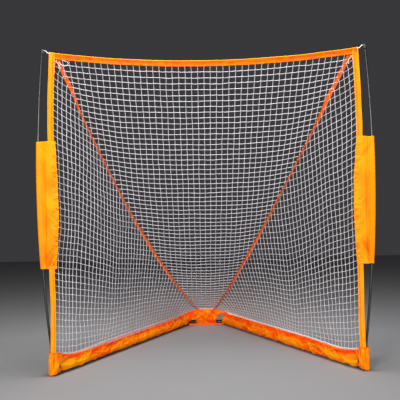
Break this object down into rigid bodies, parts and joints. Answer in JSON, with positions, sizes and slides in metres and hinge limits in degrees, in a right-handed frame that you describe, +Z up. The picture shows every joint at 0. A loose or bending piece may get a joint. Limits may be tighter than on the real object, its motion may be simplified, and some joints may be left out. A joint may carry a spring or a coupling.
{
  "type": "portable lacrosse goal",
  "caption": "Portable lacrosse goal: hemmed square mesh net with seam tapes and side pockets, bowed side poles, fabric skirts and corner boots over a plug-together steel V base.",
  "frame": {"origin": "centre of the bounding box's bottom, on the ground under the goal's middle", "axes": "+X to the right along the mouth, +Y from the mouth to the rear corner, +Z up"},
  "size_m": [2.0904, 1.8402, 2.0056],
  "materials": {
    "orange_fabric": "woven polyester with a light sheen",
    "orange_webbing": "ribbed webbing",
    "net_cord": "knotted white cord",
    "white_elastic": "covered elastic cord",
    "black_steel": "powder coated steel tube",
    "black_rod": "glossy resin rod",
    "bright_steel": "plated steel",
    "spring_steel": "spring steel",
    "black_rubber": "moulded rubber",
    "eyelet_metal": "dark rolled metal"
  },
  "bodies": {
    "goal_frame": {"rear_elbow_tube": "black_steel", "hem_top": "orange_fabric", "net_back": "net_cord", "rear_flap": "orange_fabric", "rear_strap": "orange_webbing", "rail_rear_right": "black_steel", "rail_rear_left": "black_steel", "rail_front_right": "black_steel", "rail_front_left": "black_steel", "corner_bracket_right": "black_steel", "corner_bracket_left": "black_steel", "pole_foot_right": "bright_steel", "pole_foot_left": "bright_steel", "pole_lower_right": "black_rod", "pole_lower_left": "black_rod", "pole_middle_right": "black_rod", "pole_middle_left": "black_rod", "pole_upper_right": "black_rod", "pole_upper_left": "black_rod", "ferrule_lower_right": "bright_steel", "ferrule_lower_left": "bright_steel", "ferrule_upper_right": "bright_steel", "ferrule_upper_left": "bright_steel", "pole_tip_right": "black_rubber", "pole_tip_left": "black_rubber", "button_spring_corner_right": "spring_steel", "button_spring_corner_left": "spring_steel", "button_spring_rail_right": "spring_steel", "button_spring_rail_left": "spring_steel", "button_spring_elbow_right": "spring_steel", "button_spring_elbow_left": "spring_steel", "button_spring_pole_right": "spring_steel", "button_spring_pole_left": "spring_steel", "hem_right": "orange_fabric", "hem_left": "orange_fabric", "side_pocket_right": "orange_fabric", "side_pocket_left": "orange_fabric", "net_side_right": "net_cord", "net_side_left": "net_cord", "seam_tape_right": "orange_webbing", "seam_tape_left": "orange_webbing", "skirt_right": "orange_fabric", "skirt_left": "orange_fabric", "border_cord_right": "net_cord", "border_cord_left": "net_cord", "boot_right": "orange_fabric", "boot_left": "orange_fabric", "boot_eyelet_right": "eyelet_metal", "boot_eyelet_left": "eyelet_metal", "corner_cord_right": "white_elastic", "corner_cord_left": "white_elastic"},
    "button_corner_right": {"lock_button_corner_right": "bright_steel"},
    "button_corner_left": {"lock_button_corner_left": "bright_steel"},
    "button_rail_right": {"lock_button_rail_right": "bright_steel"},
    "button_rail_left": {"lock_button_rail_left": "bright_steel"},
    "button_elbow_right": {"lock_button_elbow_right": "bright_steel"},
    "button_elbow_left": {"lock_button_elbow_left": "bright_steel"},
    "button_pole_right": {"lock_button_pole_right": "bright_steel"},
    "button_pole_left": {"lock_button_pole_left": "bright_steel"}
  },
  "joints": [
    {"name": "press_corner_right", "type": "slide", "parent": "goal_frame", "child": "button_corner_right", "axis": [0, 0, -1], "range_m": [0, 0.006], "stiffness_N_per_m": 1800, "springref_m": -0.002, "deforming": ["button_spring_corner_right"]},
    {"name": "press_corner_left", "type": "slide", "parent": "goal_frame", "child": "button_corner_left", "axis": [0, 0, -1], "range_m": [0, 0.006], "stiffness_N_per_m": 1800, "springref_m": -0.002, "deforming": ["button_spring_corner_left"]},
    {"name": "press_rail_right", "type": "slide", "parent": "goal_frame", "child": "button_rail_right", "axis": [0, 0, -1], "range_m": [0, 0.006], "stiffness_N_per_m": 1800, "springref_m": -0.002, "deforming": ["button_spring_rail_right"]},
    {"name": "press_rail_left", "type": "slide", "parent": "goal_frame", "child": "button_rail_left", "axis": [0, 0, -1], "range_m": [0, 0.006], "stiffness_N_per_m": 1800, "springref_m": -0.002, "deforming": ["button_spring_rail_left"]},
    {"name": "press_elbow_right", "type": "slide", "parent": "goal_frame", "child": "button_elbow_right", "axis": [0, 0, -1], "range_m": [0, 0.006], "stiffness_N_per_m": 1800, "springref_m": -0.002, "deforming": ["button_spring_elbow_right"]},
    {"name": "press_elbow_left", "type": "slide", "parent": "goal_frame", "child": "button_elbow_left", "axis": [0, 0, -1], "range_m": [0, 0.006], "stiffness_N_per_m": 1800, "springref_m": -0.002, "deforming": ["button_spring_elbow_left"]},
    {"name": "press_pole_right", "type": "slide", "parent": "goal_frame", "child": "button_pole_right", "axis": [0.989, 0, -0.1477], "range_m": [0, 0.0056], "stiffness_N_per_m": 1800, "springref_m": -0.002, "deforming": ["button_spring_pole_right"]},
    {"name": "press_pole_left", "type": "slide", "parent": "goal_frame", "child": "button_pole_left", "axis": [-0.989, 0, -0.1477], "range_m": [0, 0.0056], "stiffness_N_per_m": 1800, "springref_m": -0.002, "deforming": ["button_spring_pole_left"]}
  ]
}
